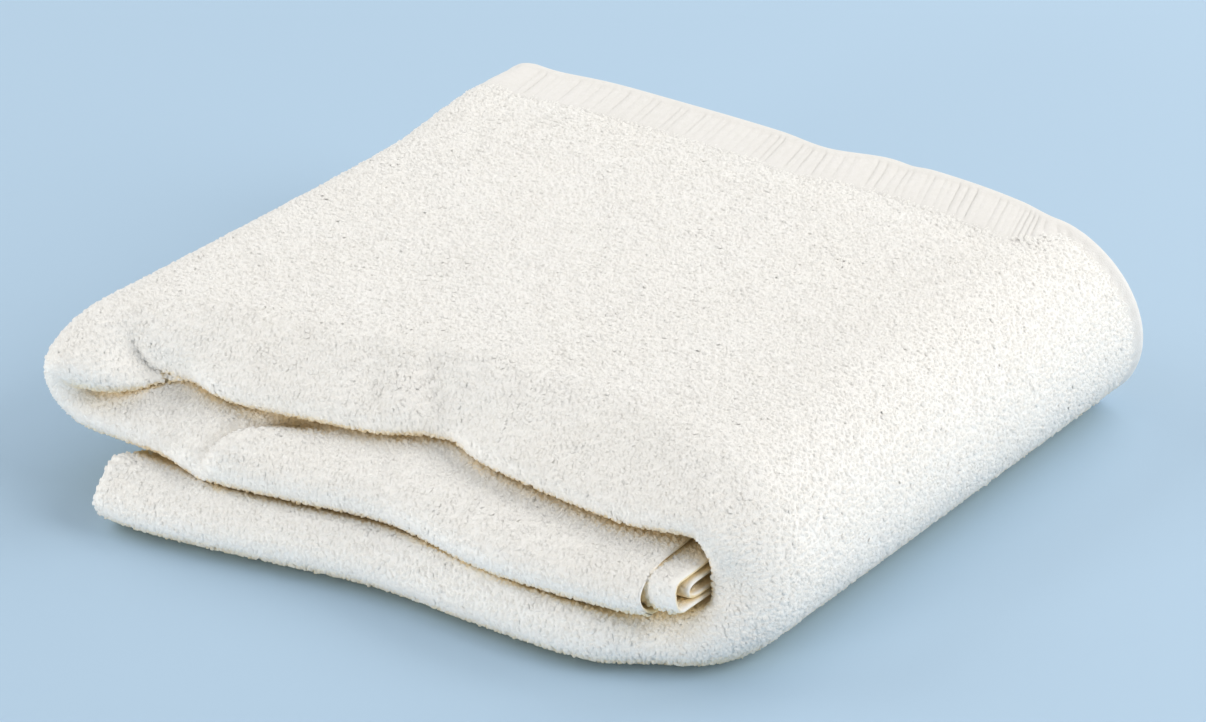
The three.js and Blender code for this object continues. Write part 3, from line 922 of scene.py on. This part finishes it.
def stage():
    size = 4.0
    mesh = bpy.data.meshes.new("floor")
    corners = [(-size, -size, 0), (size, -size, 0), (size, size, 0), (-size, size, 0)]
    mesh.from_pydata(corners, [], [(0, 1, 2, 3)])
    material, shader = new_material("pale_floor")
    shader.inputs["Base Color"].default_value = (0.452, 0.605, 0.752, 1)
    shader.inputs["Roughness"].default_value = 0.6
    shader.inputs["Specular IOR Level"].default_value = 0.2
    mesh.materials.append(material)
    floor = bpy.data.objects.new("floor", mesh)
    bpy.context.scene.collection.objects.link(floor)


def area_light(name, place, target, size, power, colour):
    data = bpy.data.lights.new(name, "AREA")
    data.shape = "SQUARE"
    data.size = size
    data.energy = power
    data.color = colour
    lamp = bpy.data.objects.new(name, data)
    lamp.location = place
    lamp.rotation_euler = (Vector(target) - Vector(place)).to_track_quat("-Z", "Y").to_euler()
    bpy.context.scene.collection.objects.link(lamp)


def lights():
    middle = (0, 0, 0.04)
    area_light("softbox_right", (2.4, 0.7, 1.6), middle, 2.0, 50, (1.0, 0.982, 0.96))
    area_light("softbox_front", (-0.6, -2.4, 0.35), middle, 0.7, 22, (1.0, 0.975, 0.94))
    area_light("softbox_left", (-2.3, -0.4, 1.5), middle, 2.0, 28, (1.0, 0.982, 0.96))
    area_light("softbox_back", (0.3, 2.2, 1.7), middle, 2.4, 33, (1.0, 0.982, 0.96))
    world = bpy.data.worlds.new("studio")
    bpy.context.scene.world = world
    world.use_nodes = True
    background = world.node_tree.nodes["Background"]
    background.inputs["Color"].default_value = (0.91, 0.96, 1.0, 1)
    background.inputs["Strength"].default_value = 0.41
    settings = bpy.context.scene.view_settings
    settings.view_transform = "Standard"


CAMERA = {"azimuth": 34.598, "elevation": 25.371, "distance": 2.09, "lens": 137.5, "sensor": 36}
LOOK_AT = Vector((-0.00051, 0.00702, 0.038))


def camera():
    data = bpy.data.cameras.new("camera")
    data.lens = CAMERA["lens"]
    data.sensor_width = CAMERA["sensor"]
    a, e = math.radians(CAMERA["azimuth"]), math.radians(CAMERA["elevation"])
    back = Vector((math.sin(a) * math.cos(e), -math.cos(a) * math.cos(e), math.sin(e)))
    viewer = bpy.data.objects.new("camera", data)
    viewer.location = LOOK_AT + back * CAMERA["distance"]
    viewer.rotation_euler = (-back).to_track_quat("-Z", "Y").to_euler()
    bpy.context.scene.collection.objects.link(viewer)
    bpy.context.scene.camera = viewer


def main():
    camera()
    stage()
    lights()
    terry = terry_material("terry", (0.97, 0.945, 0.90), (0.945, 0.91, 0.85), PAINTED_FOLD_SHADE, 0.4)
    sheet = Sheet()
    cloth = sheet.mesh(terry)
    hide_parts("towel")
    tree = BVHTree.FromObject(cloth, bpy.context.evaluated_depsgraph_get())
    shown = {}
    for sign in (1, -1):
        flat = openness(tree, sheet.side(sign).reshape(-1, 3), (sign * sheet.normals).reshape(-1, 3))
        shown[sign] = flat.reshape(sheet.half.shape)
    # The cloth's openness for the painted shade in the folds; the left end is kept fairly open
    left_end = NOSE_OPEN * (1 - ease(sheet.along, *NOSE_OPEN_RUN))[:, None]
    both = np.concatenate([np.maximum(shown[sign], left_end).ravel() for sign in (1, -1)])
    set_open(cloth, open_share(both[sheet.kept]))
    pieces = pile(sheet, shown, terry)
    woven = terry_material("woven", (0.84, 0.81, 0.77), (0.80, 0.77, 0.72), PAINTED_FOLD_SHADE, 0.3)
    draw = np.random.default_rng(SEED + 1)
    pieces.append(border("outer_border", draw, lambda at: edge_values(at)["back"], 1.5 * PITCH, 0, woven))
    pieces.append(
        border("inner_border", draw, lambda at: edge_values(at)["back"] - HEM_STEP, 0.5 * PITCH, 1, woven)
    )


main()
